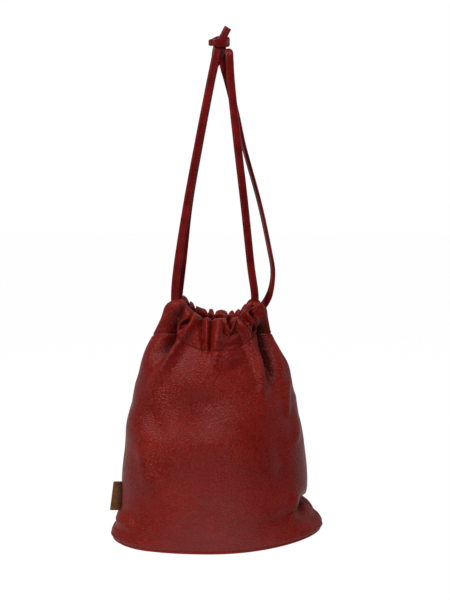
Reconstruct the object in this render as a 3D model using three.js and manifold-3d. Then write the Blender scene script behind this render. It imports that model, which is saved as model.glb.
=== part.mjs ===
// Drawstring shoulder bag of soft red leather, hanging from the loops of its own strap.
// Millimetres, +Z up, the front faces -Y. The origin is the hang point: the underside of
// the strap loops, where a peg or a shoulder carries the bag.
import * as THREE from "three";
import { mergeVertices } from "three/addons/utils/BufferGeometryUtils.js";
import Module from "manifold-3d";

const wasm = await Module();
wasm.setup();

// Leather and seams
const LEATHER = 1.4; // thickness of the body leather
const TAB_LEATHER = 1.1; // thickness of the side tab's leather
const SEAM_ALLOWANCE = 8.4; // width of the edges turned into the bag at each seam
const CLEARANCE = 0.3; // gap between pieces that touch on the real bag

// Bag body: outside widths and depths at six levels of the wall
const WALL_HEIGHT = 280; // base seam to the top fold of the hem, at the side seams
const BASE_WIDTH = 252;
const BASE_DEPTH = 108;
const WAIST_WIDTH = 224; // the side seams pull the wall in just above the stiffer base
const WAIST_DEPTH = 122;
const BELLY_WIDTH = 222;
const BELLY_DEPTH = 136;
const SHOULDER_WIDTH = 192;
const SHOULDER_DEPTH = 126;
const NECK_WIDTH = 140; // along the hem's line of stitches
const NECK_DEPTH = 84;
const MOUTH_WIDTH = 114;
const MOUTH_DEPTH = 62;
const WAIST_LEVEL = 26; // heights of the middle levels above the base seam
const BELLY_LEVEL = 78;
const SHOULDER_LEVEL = 160;
const BODY_X = -9; // the body hangs this far to the side of the hang point
const BASE_SAG = 15; // the middle of the base hangs this far below its ends
const MOUTH_SAG = 20; // the same for the mouth
const FLAT_SHARE = 0.35; // the share of the base's half width that lies flat
const OVAL = 0.9; // exponent of the lower sections, a slightly squared oval

// Drawstring, a folded leather strap, drawn as a round cord of the same section area
const STRAP_WIDTH = 9;
const STRAP_THICKNESS = 3;
const STRAP_DIAMETER = 2 * Math.sqrt((STRAP_WIDTH * STRAP_THICKNESS) / Math.PI);
const STRAP_SIDES = 8;
const STRAP_DROP = 282; // hang point to the hem's top corners
const PEG_RADIUS = 3; // the loops are shaped round a peg of this radius

// Hem, a tunnel for the drawstring
const HEM_DEPTH = 38; // top fold to the line of stitches
const TUNNEL_PLAY = 0.7; // round the strap, inside the tunnel
const TUNNEL_BORE = STRAP_DIAMETER + 2 * TUNNEL_PLAY;
const STRAP_BELOW_FOLD = 8; // strap centre below the tunnel's top fold
const SLIT_WIDTH = 18; // between the front and back hems at their top corners

// Knot that joins the strap's two ends on top of the left loop
const KNOT_LENGTH = 25;
const KNOT_HEIGHT = 12.5;
const KNOT_DEPTH = 15;
const KNOT_TILT = 10; // degrees, its right end raised
const KNOT_CENTRE = new THREE.Vector3(-3.8, 0, 12);
const TAIL_WIDTH = 7; // the strap narrows towards its cut ends
const TAIL_LENGTH = 19; // knot centre to the cut ends that stand out of it
const TAIL_LEAN = 17; // degrees from upright, to the right
const TAIL_FOOT = 5; // the tails start this far right of the knot's centre

// Blank tab, a folded strip held in the left side seam
const TAB_HEIGHT = 33;
const TAB_REACH = 10; // how far it stands out of the seam
const TAB_LEVEL = 38; // its centre above the base seam

// Mesh density
const SIDE_STEPS = 28; // columns of a body panel, side seam to side seam
const WALL_ROWS = 16;
const FOLD_ROWS = 5;
const HEM_ROWS = 3;
const PROFILE_POINTS = 160;
const KNOT_SIDES = 16;
const BASE_RING_SHARES = [0.35, 0.6, 0.85]; // rings of the base between its middle and rim
const STEPS_PER_ROUTE_POINT = 2;

const TOP_LEVEL = -STRAP_DROP;
const STITCH_HEIGHT = WALL_HEIGHT - HEM_DEPTH;
const FOLD_RADIUS = LEATHER + TUNNEL_BORE / 2; // outside radius of the hem's top fold

const lerp = THREE.MathUtils.lerp;
const ramp = THREE.MathUtils.smoothstep;

// Height, half width and half depth of the wall's outside, base to mouth.
const wallProfile = new THREE.CatmullRomCurve3(
  [
    [0, BASE_WIDTH, BASE_DEPTH],
    [WAIST_LEVEL, WAIST_WIDTH, WAIST_DEPTH],
    [BELLY_LEVEL, BELLY_WIDTH, BELLY_DEPTH],
    [SHOULDER_LEVEL, SHOULDER_WIDTH, SHOULDER_DEPTH],
    [STITCH_HEIGHT, NECK_WIDTH, NECK_DEPTH],
    [WALL_HEIGHT, MOUTH_WIDTH, MOUTH_DEPTH],
  ].map(([height, width, depth]) => new THREE.Vector3(height, width / 2, depth / 2)),
).getPoints(PROFILE_POINTS);

function profileAt(height) {
  const next = wallProfile.findIndex((p) => p.x >= height);
  if (next <= 0) return wallProfile[0];
  const low = wallProfile[next - 1];
  return low.clone().lerp(wallProfile[next], (height - low.x) / (wallProfile[next].x - low.x));
}

// How far a point hangs below the side seams, by its height and its share of the half width.
function sagAt(share, height) {
  const past = Math.max(0, (share - FLAT_SHARE) / (1 - FLAT_SHARE));
  return lerp(BASE_SAG, MOUTH_SAG, height / WALL_HEIGHT) * (1 - past * past);
}

// A point of the front wall's outside. turn runs from 0 at the right side seam to PI at
// the left one. The section is an oval below, and a lens with open ends at the mouth.
function wallPoint(turn, height) {
  const { y: halfWidth, z: halfDepth } = profileAt(height);
  const lens = ramp(height, SHOULDER_LEVEL, WALL_HEIGHT);
  const halfSlit = (SLIT_WIDTH / 2) * Math.max(0, (height - STITCH_HEIGHT) / HEM_DEPTH);
  const across = Math.cos(turn);
  const side = Math.sign(across) * Math.abs(across) ** lerp(OVAL, 1, lens);
  const front = lerp(Math.abs(Math.sin(turn)) ** OVAL, Math.sin(turn) ** 2, lens);
  return new THREE.Vector3(
    BODY_X + halfWidth * side,
    -(halfSlit + (halfDepth - halfSlit) * front),
    TOP_LEVEL - WALL_HEIGHT + height - sagAt(Math.abs(side), height),
  );
}

// The same point moved into the bag, square to the section. The section's direction is
// read between two near points that both lie on the front half.
function insetPoint(turn, height, inset) {
  const step = 0.01;
  const near = THREE.MathUtils.clamp(turn, 2 * step, Math.PI - 2 * step);
  const along = wallPoint(near + step, height).sub(wallPoint(near - step, height));
  const inward = new THREE.Vector3(-along.y, along.x, 0).normalize().negate();
  return wallPoint(turn, height).addScaledVector(inward, inset);
}

function geometryOf(positions, indices) {
  return new THREE.BufferGeometry()
    .setAttribute("position", new THREE.Float32BufferAttribute(positions, 3))
    .setIndex(indices);
}

// A closed solid from a grid of points: a sheet with its outside on the grid, and its
// thickness on the side that the grid's normals point away from.
function sheetGeometry(grid, thickness) {
  const columns = grid.length;
  const rows = grid[0].length;
  const normalAt = (i, j) => {
    const along = grid[Math.min(i + 1, columns - 1)][j].clone().sub(grid[Math.max(i - 1, 0)][j]);
    const up = grid[i][Math.min(j + 1, rows - 1)].clone().sub(grid[i][Math.max(j - 1, 0)]);
    return along.cross(up).normalize();
  };
  const positions = [];
  grid.forEach((column) => column.forEach((p) => positions.push(...p)));
  grid.forEach((column, i) =>
    column.forEach((p, j) => positions.push(...p.clone().addScaledVector(normalAt(i, j), -thickness))),
  );
  const outside = (i, j) => i * rows + j;
  const inside = (i, j) => columns * rows + outside(i, j);
  const indices = [];
  const quad = (a, b, c, d) => indices.push(a, b, c, a, c, d);
  for (let i = 0; i < columns - 1; i++)
    for (let j = 0; j < rows - 1; j++) {
      quad(outside(i, j), outside(i + 1, j), outside(i + 1, j + 1), outside(i, j + 1));
      quad(inside(i, j), inside(i, j + 1), inside(i + 1, j + 1), inside(i + 1, j));
    }
  for (let i = 0; i < columns - 1; i++) {
    quad(outside(i, 0), inside(i, 0), inside(i + 1, 0), outside(i + 1, 0));
    quad(outside(i, rows - 1), outside(i + 1, rows - 1), inside(i + 1, rows - 1), inside(i, rows - 1));
  }
  for (let j = 0; j < rows - 1; j++) {
    quad(outside(0, j), outside(0, j + 1), inside(0, j + 1), inside(0, j));
    const end = columns - 1;
    quad(outside(end, j), inside(end, j), inside(end, j + 1), outside(end, j + 1));
  }
  return geometryOf(positions, indices);
}

// A closed solid from a stack of rings between two poles. Each ring runs clockwise, seen
// from the end pole.
function ringGeometry(startPole, rings, endPole) {
  const sides = rings[0].length;
  const positions = [startPole, ...rings.flat(), endPole].flatMap((p) => [...p]);
  const at = (ring, side) => 1 + ring * sides + (side % sides);
  const last = 1 + rings.length * sides;
  const indices = [];
  for (let s = 0; s < sides; s++) {
    indices.push(0, at(0, s), at(0, s + 1));
    indices.push(last, at(rings.length - 1, s + 1), at(rings.length - 1, s));
    for (let r = 0; r < rings.length - 1; r++) {
      indices.push(at(r, s), at(r + 1, s + 1), at(r, s + 1));
      indices.push(at(r, s), at(r + 1, s), at(r + 1, s + 1));
    }
  }
  return geometryOf(positions, indices);
}

function solidOf(geometry) {
  const bare = geometry.index ? geometry.toNonIndexed() : geometry.clone();
  bare.deleteAttribute("normal");
  bare.deleteAttribute("uv");
  const merged = mergeVertices(bare, 1e-4);
  return new wasm.Manifold(
    new wasm.Mesh({
      numProp: 3,
      vertProperties: merged.attributes.position.array,
      triVerts: new Uint32Array(merged.index.array),
    }),
  );
}

function geometryFrom(solid) {
  const mesh = solid.getMesh();
  return geometryOf([...mesh.vertProperties], [...mesh.triVerts]).toNonIndexed();
}

function boxSolid(low, high) {
  const size = high.clone().sub(low);
  const middle = low.clone().add(high).multiplyScalar(0.5);
  const box = new THREE.BoxGeometry(size.x, size.y, size.z);
  return solidOf(box.translate(middle.x, middle.y, middle.z));
}

// The front panel's leather as one folded sheet: up the outside, over the top fold and
// down the inside of the hem to the line of stitches.
function panelGrid() {
  const path = [];
  for (let j = 0; j <= WALL_ROWS; j++)
    path.push({ height: (j / WALL_ROWS) * (WALL_HEIGHT - FOLD_RADIUS), inset: 0 });
  for (let j = 1; j <= FOLD_ROWS; j++) {
    const angle = (j / FOLD_ROWS) * Math.PI;
    path.push({
      height: WALL_HEIGHT - FOLD_RADIUS + FOLD_RADIUS * Math.sin(angle),
      inset: FOLD_RADIUS * (1 - Math.cos(angle)),
    });
  }
  const widestBelow = WALL_HEIGHT - STRAP_BELOW_FOLD - STRAP_DIAMETER;
  path.push({ height: widestBelow, inset: 2 * FOLD_RADIUS });
  for (let j = 1; j <= HEM_ROWS; j++) {
    const share = j / HEM_ROWS;
    path.push({
      height: lerp(widestBelow, STITCH_HEIGHT, share),
      inset: lerp(2 * FOLD_RADIUS, 2 * LEATHER + CLEARANCE, ramp(share, 0, 1)),
    });
  }
  const grid = [];
  for (let i = 0; i <= SIDE_STEPS; i++) {
    const turn = Math.PI * (1 - i / SIDE_STEPS);
    grid.push(path.map(({ height, inset }) => insetPoint(turn, height, inset)));
  }
  return grid;
}

// The edge of the panel that is turned into the bag along one side seam.
function seamAllowanceGrid(turn) {
  const inward = -Math.sign(Math.cos(turn));
  const outer = [];
  const inner = [];
  const bottom = SEAM_ALLOWANCE + 2 * CLEARANCE;
  for (let j = 0; j <= WALL_ROWS; j++) {
    const height = lerp(bottom, STITCH_HEIGHT - LEATHER, j / WALL_ROWS);
    const edge = wallPoint(turn, height).setY(-CLEARANCE / 2);
    outer.push(edge.clone().setX(edge.x + (inward * LEATHER) / 2));
    inner.push(edge.clone().setX(edge.x + inward * SEAM_ALLOWANCE));
  }
  return inward > 0 ? [inner, outer] : [outer, inner];
}

// Outline of the tab's folded strip, seen from above: x is how far it stands out of the
// wall's outside, y is across its thickness.
function tabShape(grow) {
  const half = TAB_LEATHER + CLEARANCE / 2 + grow;
  const shape = new THREE.Shape();
  shape.moveTo(-SEAM_ALLOWANCE - grow, -half);
  shape.lineTo(TAB_REACH - half + grow, -half);
  shape.absarc(TAB_REACH - half + grow, 0, half, -Math.PI / 2, Math.PI / 2, false);
  shape.lineTo(-SEAM_ALLOWANCE - grow, half);
  return shape;
}

function tabExtrusion(shape, height) {
  const geometry = new THREE.ExtrudeGeometry(shape, {
    depth: height,
    bevelEnabled: false,
    curveSegments: 6,
  });
  const wall = wallPoint(Math.PI, TAB_LEVEL);
  const above = wallPoint(Math.PI, TAB_LEVEL + TAB_HEIGHT / 2);
  const below = wallPoint(Math.PI, TAB_LEVEL - TAB_HEIGHT / 2);
  const lean = Math.atan2(above.x - below.x, above.z - below.z);
  return geometry
    .translate(0, 0, -height / 2)
    .rotateZ(Math.PI)
    .rotateY(lean)
    .translate(wall.x, 0, wall.z);
}

function tabGeometry() {
  const strip = solidOf(tabExtrusion(tabShape(0), TAB_HEIGHT));
  const slot = new THREE.Shape();
  slot.moveTo(-SEAM_ALLOWANCE - 1, -CLEARANCE / 2);
  slot.lineTo(TAB_REACH - 2 * TAB_LEATHER, -CLEARANCE / 2);
  slot.lineTo(TAB_REACH - 2 * TAB_LEATHER, CLEARANCE / 2);
  slot.lineTo(-SEAM_ALLOWANCE - 1, CLEARANCE / 2);
  return geometryFrom(strip.subtract(solidOf(tabExtrusion(slot, TAB_HEIGHT + 2))));
}

function frontPanelSolid() {
  const allowances = [0, Math.PI].map((turn) => solidOf(sheetGeometry(seamAllowanceGrid(turn), LEATHER)));
  const wall = solidOf(sheetGeometry(panelGrid(), LEATHER));
  const reach = 2 * BASE_WIDTH + WALL_HEIGHT + STRAP_DROP;
  const frontHalf = boxSolid(
    new THREE.Vector3(-reach, -reach, -reach),
    new THREE.Vector3(reach, -CLEARANCE / 2, reach),
  );
  return allowances.reduce((solid, allowance) => solid.add(allowance), wall).intersect(frontHalf);
}

// The same solid on the other side of the XZ plane.
function mirrored(solid) {
  const mesh = solid.getMesh();
  const turnedInsideOut = [...mesh.triVerts].reverse();
  return solidOf(geometryOf([...mesh.vertProperties], turnedInsideOut).scale(1, -1, 1));
}

// The base: an oval that bends only across the bag's width, with its edge turned up
// inside the wall.
function basePanelGeometry() {
  const ring = (height, inset, share, lift) => {
    const points = [];
    for (let s = 0; s < 2 * SIDE_STEPS; s++) {
      const turn = (Math.PI * s) / SIDE_STEPS;
      const front = turn <= Math.PI;
      const edge = insetPoint(front ? turn : 2 * Math.PI - turn, height, inset);
      const x = lerp(BODY_X, edge.x, share);
      const y = edge.y * share * (front ? 1 : -1);
      const across = Math.abs(x - BODY_X) / profileAt(0).y;
      points.push(new THREE.Vector3(x, y, TOP_LEVEL - WALL_HEIGHT + lift - sagAt(across, height)));
    }
    return points;
  };
  const edge = LEATHER + 3 * CLEARANCE;
  const pole = (lift) => new THREE.Vector3(BODY_X, 0, TOP_LEVEL - WALL_HEIGHT - BASE_SAG + lift);
  const rings = [
    ...BASE_RING_SHARES.map((share) => ring(0, edge, share, 0)),
    ring(0, edge, 1, 0),
    ring(SEAM_ALLOWANCE, edge, 1, SEAM_ALLOWANCE),
    ring(SEAM_ALLOWANCE, edge + LEATHER, 1, SEAM_ALLOWANCE),
    ring(LEATHER, edge + LEATHER, 1, LEATHER),
    ...BASE_RING_SHARES.toReversed().map((share) => ring(0, edge + LEATHER, share, LEATHER)),
  ];
  return ringGeometry(pole(0), rings, pole(LEATHER));
}

// A point of the strap's centre line inside the hem tunnel. side is 1 at the front.
function tunnelPoint(turn, side) {
  const p = insetPoint(turn, WALL_HEIGHT - STRAP_BELOW_FOLD, FOLD_RADIUS);
  return new THREE.Vector3(p.x, side * p.y, p.z);
}

// The strap's route: from the knot down the left front, through the front hem, up the
// right front, over the peg, down the right back, through the back hem and up to the knot.
function strapRoute() {
  const points = (list) => list.map(([x, y, z]) => new THREE.Vector3(x, y, z));
  const over = [45, 90, 135].map((angle) => {
    const a = THREE.MathUtils.degToRad(angle);
    const reach = PEG_RADIUS + STRAP_DIAMETER / 2;
    return new THREE.Vector3(8, -reach * Math.cos(a), reach * Math.sin(a) - PEG_RADIUS);
  });
  return [
    ...points([
      [-6, -3.4, 11],
      [-6.6, -6, -4],
      [-14, -6.5, -36],
      [-27, -7, -102],
      [-40, -7, -170],
      [-51.5, -7, -240],
      [-55, -7, -279],
    ]),
    ...[2.45, 2, 1.57, 1.14, 0.69].map((turn) => tunnelPoint(turn, 1)),
    ...points([
      [38, -7, -279],
      [33, -7, -240],
      [25.5, -7, -170],
      [17.5, -7, -102],
      [10.5, -6.5, -36],
      [8.3, -6.2, -8],
    ]),
    ...over,
    ...points([
      [8.8, 6.2, -8],
      [12, 7, -36],
      [24.8, 8, -102],
      [43, 9, -170],
      [55, 9, -225],
      [59.2, 8.5, -252],
      [56, 8, -276],
      [48, 9.5, -293],
    ]),
    ...[0.6, 1.1, 1.57, 2.04, 2.5].map((turn) => tunnelPoint(turn, -1)),
    ...points([
      [-51, 7, -281],
      [-46, 7, -240],
      [-38, 7, -170],
      [-26, 7, -102],
      [-13.5, 6.5, -36],
      [-8, 6, -4],
      [-5, 3.4, 11],
    ]),
  ];
}

// A tube along the strap's route.
function strapTube(diameter) {
  const points = strapRoute();
  const route = new THREE.CatmullRomCurve3(points, false, "centripetal");
  // Steps follow the route's own points, which lie close together at its bends.
  route.getPointAt = route.getPoint;
  route.getTangentAt = route.getTangent;
  const section = new THREE.Shape();
  for (let k = 0; k < STRAP_SIDES; k++) {
    const angle = (2 * Math.PI * k) / STRAP_SIDES;
    const corner = [(diameter / 2) * Math.cos(angle), (diameter / 2) * Math.sin(angle)];
    if (k === 0) section.moveTo(...corner);
    else section.lineTo(...corner);
  }
  const steps = (points.length - 1) * STEPS_PER_ROUTE_POINT;
  return solidOf(new THREE.ExtrudeGeometry(section, { steps, extrudePath: route }));
}

// The knot as the closed shape that its turns fill, with the strap's two cut ends.
function knotSolid(grow) {
  const profile = [];
  const steps = KNOT_SIDES / 2;
  for (let k = 0; k <= steps; k++) {
    const angle = (k / steps - 0.5) * Math.PI;
    profile.push(new THREE.Vector2(Math.cos(angle), Math.sin(angle)));
  }
  profile[0].x = 0;
  profile[steps].x = 0;
  const barrel = new THREE.LatheGeometry(profile, KNOT_SIDES)
    .rotateZ(-Math.PI / 2)
    .scale(KNOT_LENGTH / 2 + grow, KNOT_DEPTH / 2 + grow, KNOT_HEIGHT / 2 + grow)
    .rotateY(-THREE.MathUtils.degToRad(KNOT_TILT));
  const tails = new THREE.BoxGeometry(TAIL_WIDTH, 2 * STRAP_THICKNESS, TAIL_LENGTH)
    .translate(0, 0, TAIL_LENGTH / 2)
    .rotateY(THREE.MathUtils.degToRad(TAIL_LEAN))
    .translate(TAIL_FOOT, 0, 0);
  const { x, y, z } = KNOT_CENTRE;
  return solidOf(barrel.translate(x, y, z)).add(solidOf(tails.translate(x, y, z)));
}

const bodyLeather = new THREE.MeshStandardMaterial({ color: 0x7a2a22, roughness: 0.5, metalness: 0 });
const strapLeather = new THREE.MeshStandardMaterial({ color: 0x6b1e1a, roughness: 0.5, metalness: 0 });
const tabLeather = new THREE.MeshStandardMaterial({ color: 0x5a3a1a, roughness: 0.6, metalness: 0 });

const bag = new THREE.Group();

function addPiece(name, geometry, material) {
  const mesh = new THREE.Mesh(geometry, material);
  mesh.name = name;
  bag.add(mesh);
}

const tabSlot = solidOf(tabExtrusion(tabShape(CLEARANCE), TAB_HEIGHT + 2 * CLEARANCE));
const strapWay = strapTube(STRAP_DIAMETER + 2 * CLEARANCE);
const frontPanel = frontPanelSolid();
const backPanel = mirrored(frontPanel);
const cutPanel = (panel) => geometryFrom(panel.subtract(tabSlot).subtract(strapWay));
addPiece("front_panel", cutPanel(frontPanel), bodyLeather);
addPiece("back_panel", cutPanel(backPanel), bodyLeather);
addPiece("base_panel", basePanelGeometry(), bodyLeather);
addPiece("side_tab", tabGeometry(), tabLeather);
addPiece("drawstring", geometryFrom(strapTube(STRAP_DIAMETER).subtract(knotSolid(CLEARANCE))), strapLeather);
addPiece("drawstring_knot", geometryFrom(knotSolid(0)), strapLeather);

export default bag;
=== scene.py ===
# %% [markdown]
# # A drawstring shoulder bag of red leather
#
# The bag hangs by its drawstring, full and rounded. It is made of soft pebble-grained cowhide:
# a front and a back panel that meet in two side seams, an oval base with a rounded rim, and a
# hem round the mouth, through which one folded strap runs. The frame that is loaded here holds
# each piece at its real place in metres, so everything below is modelled where it belongs.

# %% Load the frame
import math
import random

import bmesh
import bpy
from mathutils import Matrix, Vector, noise


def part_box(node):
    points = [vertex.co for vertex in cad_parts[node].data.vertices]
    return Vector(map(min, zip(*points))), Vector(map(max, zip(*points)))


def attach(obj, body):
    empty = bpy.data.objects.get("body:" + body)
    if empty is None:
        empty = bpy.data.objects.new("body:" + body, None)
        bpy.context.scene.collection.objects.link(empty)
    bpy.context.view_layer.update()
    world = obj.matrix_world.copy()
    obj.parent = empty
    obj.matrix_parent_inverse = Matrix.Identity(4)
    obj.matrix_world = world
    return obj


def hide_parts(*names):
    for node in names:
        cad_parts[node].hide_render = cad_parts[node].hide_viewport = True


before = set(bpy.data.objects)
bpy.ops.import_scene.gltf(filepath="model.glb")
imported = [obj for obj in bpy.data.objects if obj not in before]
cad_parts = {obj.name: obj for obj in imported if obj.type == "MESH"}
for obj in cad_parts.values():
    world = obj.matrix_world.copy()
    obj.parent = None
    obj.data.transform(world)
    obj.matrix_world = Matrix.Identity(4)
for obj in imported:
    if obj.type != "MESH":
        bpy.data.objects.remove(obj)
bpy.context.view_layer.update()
MM = 0.001
print("nodes:", sorted(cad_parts))

# %% [markdown]
# ## The camera
#
# A studio camera stands about a metre and a half away and a little above the bag's middle, so
# that the far rim of the mouth shows over the near one, and the base shows its curve. A long
# lens keeps the strap from narrowing towards the top.

# %% Camera
CAMERA_DISTANCE = 1.5
CAMERA_ELEVATION = math.radians(12)
CAMERA_TARGET = Vector((0.0033, 0, -0.283))
PICTURE_HEIGHT_PX = 600
FOCAL_PX = 1286
SENSOR_MM = 36


def make_camera():
    data = bpy.data.cameras.new("camera")
    data.sensor_width = SENSOR_MM
    data.lens = SENSOR_MM * FOCAL_PX / PICTURE_HEIGHT_PX
    camera = bpy.data.objects.new("camera", data)
    bpy.context.scene.collection.objects.link(camera)
    back = Vector((0, -math.cos(CAMERA_ELEVATION), math.sin(CAMERA_ELEVATION)))
    camera.location = CAMERA_TARGET + CAMERA_DISTANCE * back
    camera.rotation_euler = (math.pi / 2 - CAMERA_ELEVATION, 0, 0)
    bpy.context.scene.camera = camera
    print("camera at", camera.location)


make_camera()

# %% [markdown]
# ## Small helpers
#
# Every piece is drawn in a bmesh and then handed over as an object at the origin, so that its
# place is in its mesh. A smooth ramp from 0 to 1 is used wherever one shape fades into another,
# and a bell wherever a dent or a bulge is strongest at one place.

# %% Helpers
def ramp(value, low, high):
    share = min(1.0, max(0.0, (value - low) / (high - low)))
    return share * share * (3 - 2 * share)


def bell(value, centre, width):
    return math.exp(-(((value - centre) / width) ** 2))


def mix(a, b, share):
    return a + (b - a) * share


def as_object(bm, name, replaced=()):
    mesh = bpy.data.meshes.new(name)
    bm.to_mesh(mesh)
    bm.free()
    for polygon in mesh.polygons:
        polygon.use_smooth = True
    piece = bpy.data.objects.new(name, mesh)
    bpy.context.scene.collection.objects.link(piece)
    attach(piece, "root")
    if replaced:
        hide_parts(*replaced)
    print(f"{name}: {len(mesh.polygons)} faces")
    return piece


# %% [markdown]
# ## The drawstring's route
#
# One strap makes both loops. It leaves the knot, runs down the left front, through the front
# hem, up the right front, over the hang point, down the right back, through the back hem and
# up to the knot again. The four long runs hang almost straight, and the right back one bows
# out sideways before it turns into the hem.

# %% Strap route
STRAP_WIDTH = 9.2 * MM
STRAP_THICKNESS = 3.9 * MM
STRAP_ROUTE_MM = [
    (-4.6, -5, 8.5),
    (-6.7, -6.2, -2.1),
    (-9.7, -6.3, -16.4),
    (-13.8, -6.5, -36),
    (-27, -7, -102),
    (-40, -7, -170),
    (-51.5, -7, -240),
    (-55, -7, -279),
    (-52, -9.5, -300),
    (-33, -20.4, -312),
    (-9, -25, -316),
    (15, -20.6, -315),
    (34, -9.5, -302),
    (38, -7, -279),
    (33, -7, -240),
    (25.5, -7, -170),
    (17.5, -7, -102),
    (10.3, -6.5, -36),
    (8.4, -6.2, -8),
    (7.8, -4.5, 1.2),
    (5.2, 0, 3.2),
    (1.6, 4.5, 0.4),
    (1.4, 6.4, -12),
    (7.9, 7, -36),
    (24.0, 8, -102),
    (43, 9, -170),
    (55, 9, -225),
    (59.2, 8.5, -252),
    (56, 8, -276),
    (48, 9, -292),
    (38, 9.3, -301),
    (17, 20, -313),
    (-9, 24.6, -316),
    (-34, 20, -313),
    (-53, 9, -301),
    (-51, 7, -281),
    (-46, 7, -240),
    (-38, 7, -170),
    (-26, 7, -102),
    (-13.3, 6.8, -36),
    (-7.3, 6.2, -8),
    (-6.0, 5.6, 4),
    (-4.6, 4, 9.5),
]
print("route points:", len(STRAP_ROUTE_MM))

# %% [markdown]
# A smooth curve through those points is sampled at even steps. Catmull-Rom is used because it
# passes through every point, as the strap passes through every place that was chosen.

# %% Sample a route
def catmull_rom(p0, p1, p2, p3, t):
    a = 2 * p1
    b = (p2 - p0) * t
    c = (2 * p0 - 5 * p1 + 4 * p2 - p3) * t * t
    d = (3 * p1 - p0 - 3 * p2 + p3) * t * t * t
    return 0.5 * (a + b + c + d)


def smooth_route(points, steps_each=12):
    ends = [2 * points[0] - points[1], *points, 2 * points[-1] - points[-2]]
    route = []
    for k in range(len(points) - 1):
        for s in range(steps_each):
            route.append(catmull_rom(*ends[k:k + 4], s / steps_each))
    route.append(points[-1].copy())
    return route


def route_length(route):
    return sum((b - a).length for a, b in zip(route, route[1:]))


def even_route(route, step):
    total = route_length(route)
    count = max(2, round(total / step))
    result, walked, k = [route[0].copy()], 0.0, 0
    for n in range(1, count):
        wanted = total * n / count
        while walked + (route[k + 1] - route[k]).length < wanted:
            walked += (route[k + 1] - route[k]).length
            k += 1
        share = (wanted - walked) / (route[k + 1] - route[k]).length
        result.append(route[k].lerp(route[k + 1], share))
    result.append(route[-1].copy())
    return result


STRAP_STEP = 2.5 * MM
strap_path = even_route(smooth_route([Vector(p) * MM for p in STRAP_ROUTE_MM]), STRAP_STEP)
print("drawstring length, m:", round(route_length(strap_path), 3))

# %% [markdown]
# ## The drawstring
#
# The strap is a strip of leather folded lengthwise and stitched shut, so its section is a flat
# oval with one groove along the face where the two edges meet. A grid of points is wrapped
# round the route and welded along its edge. The flat side has to face a chosen way on each
# run: it lies flat towards the front on the front runs, and the right back run turns its edge
# forwards, because it is twisted where it turns into the hem.

# %% Strap section and wrap
STRAP_ROUND = 20
GROOVE_DEPTH = 0.45 * MM
GROOVE_WIDTH = 0.55 * MM
ROUND_ACROSS = 0.85
ROUND_OUT = 0.8


def oval(value, power):
    return math.copysign(abs(value) ** power, value)


def strap_section(angle):
    across = oval(math.cos(angle), ROUND_ACROSS) * STRAP_WIDTH / 2
    out = oval(math.sin(angle), ROUND_OUT) * STRAP_THICKNESS / 2
    groove = GROOVE_DEPTH * bell(across, 0, GROOVE_WIDTH)
    return across, out - math.copysign(groove, out)


def strap_frames(path, face_at):
    frames = []
    for k, point in enumerate(path):
        ahead = (path[min(k + 1, len(path) - 1)] - path[max(k - 1, 0)]).normalized()
        face = face_at(k / (len(path) - 1))
        across = ahead.cross(face).normalized()
        frames.append((point, across, across.cross(ahead).normalized()))
    return frames


def wrap_strap(bm, frames, section, sides):
    grid = bmesh.ops.create_grid(bm, x_segments=sides, y_segments=len(frames) - 1, size=1)
    for vertex in grid["verts"]:
        column = round((vertex.co.x + 1) / 2 * sides)
        row = round((vertex.co.y + 1) / 2 * (len(frames) - 1))
        point, across, out = frames[row]
        a, b = section(2 * math.pi * column / sides)
        vertex.co = point + across * a + out * b
    bmesh.ops.remove_doubles(bm, verts=bm.verts, dist=1e-6)
    bmesh.ops.holes_fill(bm, edges=bm.edges, sides=sides + 2)
    bmesh.ops.recalc_face_normals(bm, faces=bm.faces)


# The way that the strap's flat side faces, at shares of its length.
STRAP_FACES = [
    (0.00, (0.1, -1, 0.1)),
    (0.08, (0.05, -1, 0)),
    (0.17, (-0.25, -1, 0)),
    (0.205, (-0.2, -1, 0.2)),
    (0.23, (0, -1, 0.2)),
    (0.28, (0.2, -1, 0.2)),
    (0.31, (0.2, -1, 0)),
    (0.40, (0.05, -1, 0)),
    (0.475, (0, -1, 0)),
    (0.49, (0, -0.3, 1)),
    (0.50, (0, 0.3, 1)),
    (0.515, (0, 1, 0)),
    (0.545, (0.7, 1, 0)),
    (0.575, (1, 0.5, 0)),
    (0.62, (1, 0.45, 0)),
    (0.68, (1, 0.5, 0.3)),
    (0.71, (0.6, 1, 0.3)),
    (0.76, (0, 1, 0.2)),
    (0.80, (-0.3, 1, 0.2)),
    (0.86, (-0.3, 1, 0)),
    (1.00, (-0.1, 1, 0.1)),
]


def strap_face_at(share):
    for (low, a), (high, b) in zip(STRAP_FACES, STRAP_FACES[1:]):
        if share <= high:
            return Vector(a).lerp(Vector(b), ramp(share, low, high))
    return Vector(STRAP_FACES[-1][1])


def make_drawstring():
    bm = bmesh.new()
    wrap_strap(bm, strap_frames(strap_path, strap_face_at), strap_section, STRAP_ROUND)
    return as_object(bm, "drawstring_strap", ["drawstring"])


drawstring = make_drawstring()

# %% [markdown]
# ## The shape of the body
#
# The filled bag is a shell. Half its width and half its depth are listed at ten heights, close
# to the frame's sizes, and an oval section follows them. Near the mouth the section turns into
# a lens, because the strap pulls both corners up and apart. Heights are counted from the base
# seam. The rim is highest where the straps leave it, and drops from there to the side seam and
# to the middle. At the foot the wall bulges over the stiff base, and is pinched in above it.

# %% Body sizes
WALL_HEIGHT = 280.0
TOP_LEVEL = -282.0
BODY_X = -9.0
LEATHER = 1.5
HEM_DEPTH = 34.5
HEM_BORE = 7.5
BASE_SAG = 14.5
FLAT_SHARE = 0.24
BASE_SKEW = 0.32
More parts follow.
